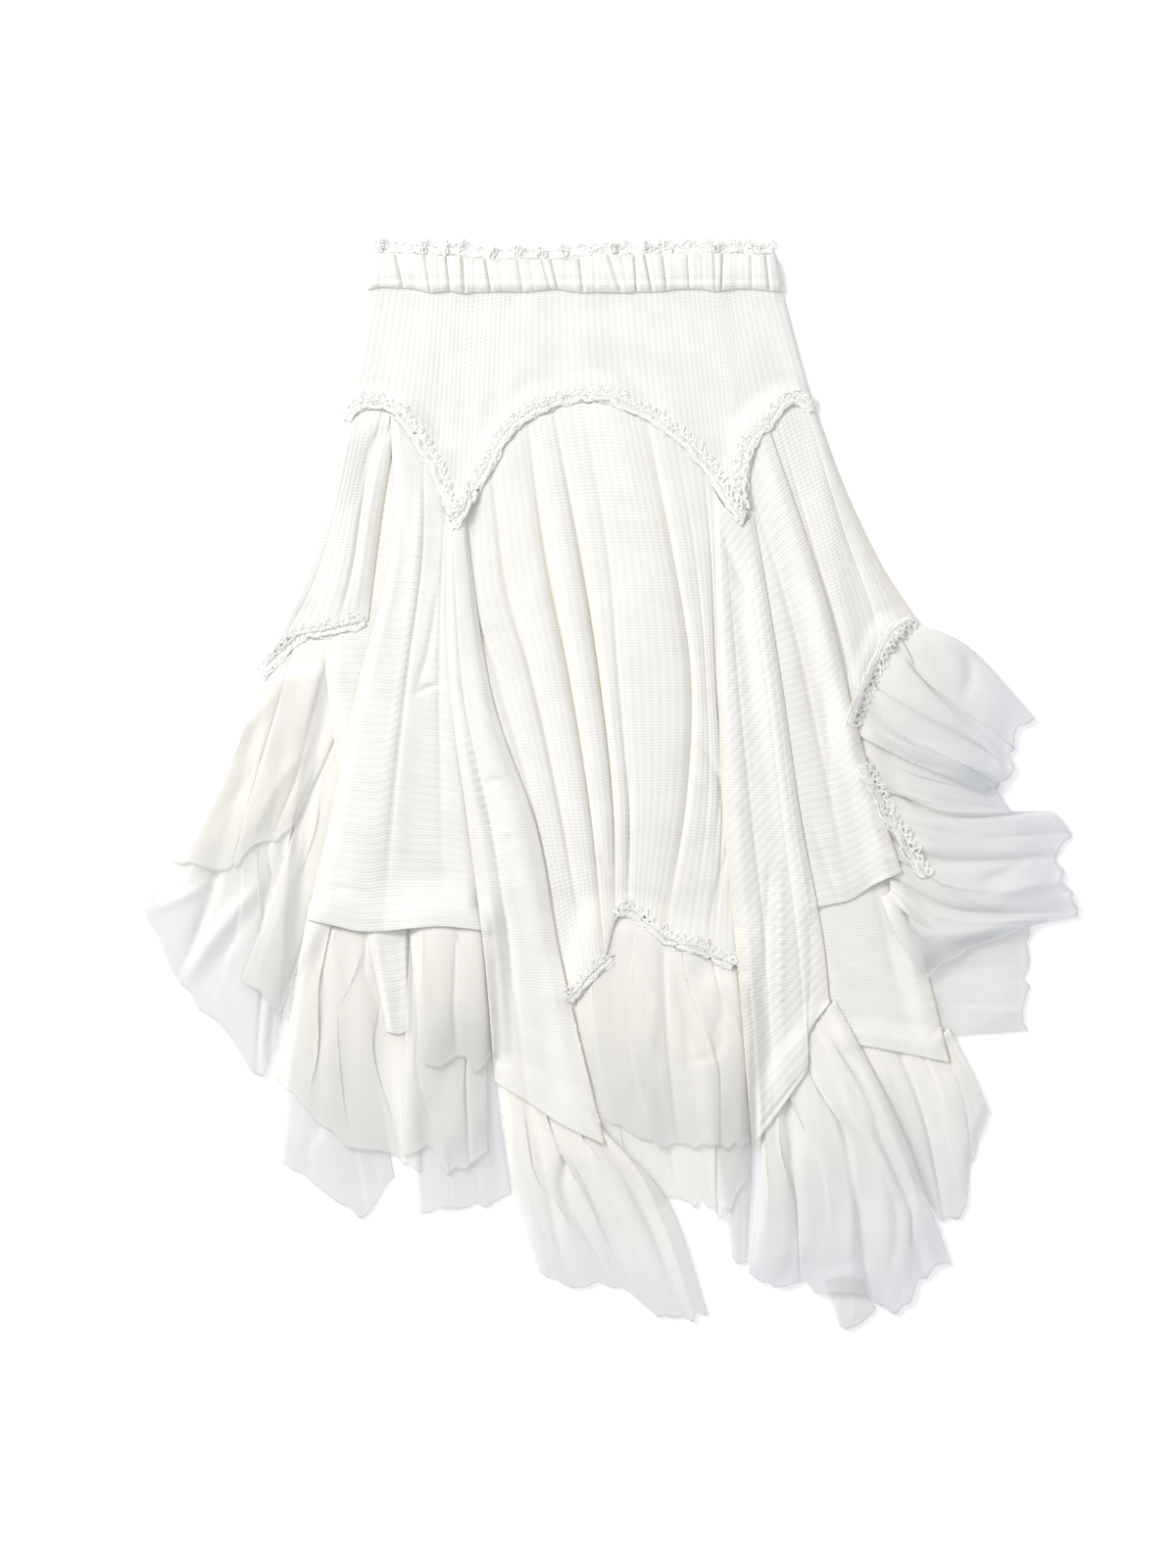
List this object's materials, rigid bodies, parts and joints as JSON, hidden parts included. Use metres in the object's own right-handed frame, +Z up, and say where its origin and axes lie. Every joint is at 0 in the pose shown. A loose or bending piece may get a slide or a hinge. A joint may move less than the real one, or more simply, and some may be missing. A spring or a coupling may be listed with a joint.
{
  "type": "tiered ruffle skirt",
  "caption": "Midi skirt laid flat: elastic waist, scalloped rib-knit yoke, draped knit gores with pointed hems, lace edgings and tiers of sheer gathered ruffles.",
  "frame": {"origin": "on the surface that the skirt lies on, under the middle of its box", "axes": "+Z up from the surface through the back to the front of the skirt, +Y from the hem towards the waist, +X to the right as seen from above"},
  "size_m": [0.7636, 0.89, 0.0251],
  "materials": {
    "rib_knit": "ivory rib knit, matt",
    "elastic_casing": "the same knit gathered over elastic, matt",
    "chiffon": "sheer chiffon, soft sheen",
    "cotton_lace": "narrow cotton crochet lace, matt"
  },
  "bodies": {
    "root": {"gore_back_centre": "rib_knit", "gore_back_left": "rib_knit", "gore_back_right": "rib_knit", "gore_bias_left": "rib_knit", "gore_bias_right": "rib_knit", "gore_centre": "rib_knit", "gore_left": "rib_knit", "gore_right": "rib_knit", "lace_arch_centre": "cotton_lace", "lace_arch_left": "cotton_lace", "lace_arch_right": "cotton_lace", "lace_centre_hem": "cotton_lace", "lace_centre_point": "cotton_lace", "lace_gore_side_right": "cotton_lace", "lace_side_hem_left": "cotton_lace", "lace_side_hem_right": "cotton_lace", "lace_waist": "cotton_lace", "ruffle_centre": "chiffon", "ruffle_centre_left": "chiffon", "ruffle_centre_low": "chiffon", "ruffle_centre_right": "chiffon", "ruffle_centre_strip": "chiffon", "ruffle_left_gore": "chiffon", "ruffle_left_gore_low": "chiffon", "ruffle_left_gore_mid": "chiffon", "ruffle_left_gore_top": "chiffon", "ruffle_left_inner": "chiffon", "ruffle_left_low": "chiffon", "ruffle_left_point": "chiffon", "ruffle_left_side": "chiffon", "ruffle_right_back": "chiffon", "ruffle_right_point": "chiffon", "ruffle_right_side": "chiffon", "ruffle_right_side_top": "chiffon", "ruffle_right_square": "chiffon", "side_panel_left": "rib_knit", "side_panel_right": "rib_knit", "waistband_back": "elastic_casing", "waistband_front": "elastic_casing", "yoke_back": "rib_knit", "yoke_front": "rib_knit"}
  },
  "joints": []
}
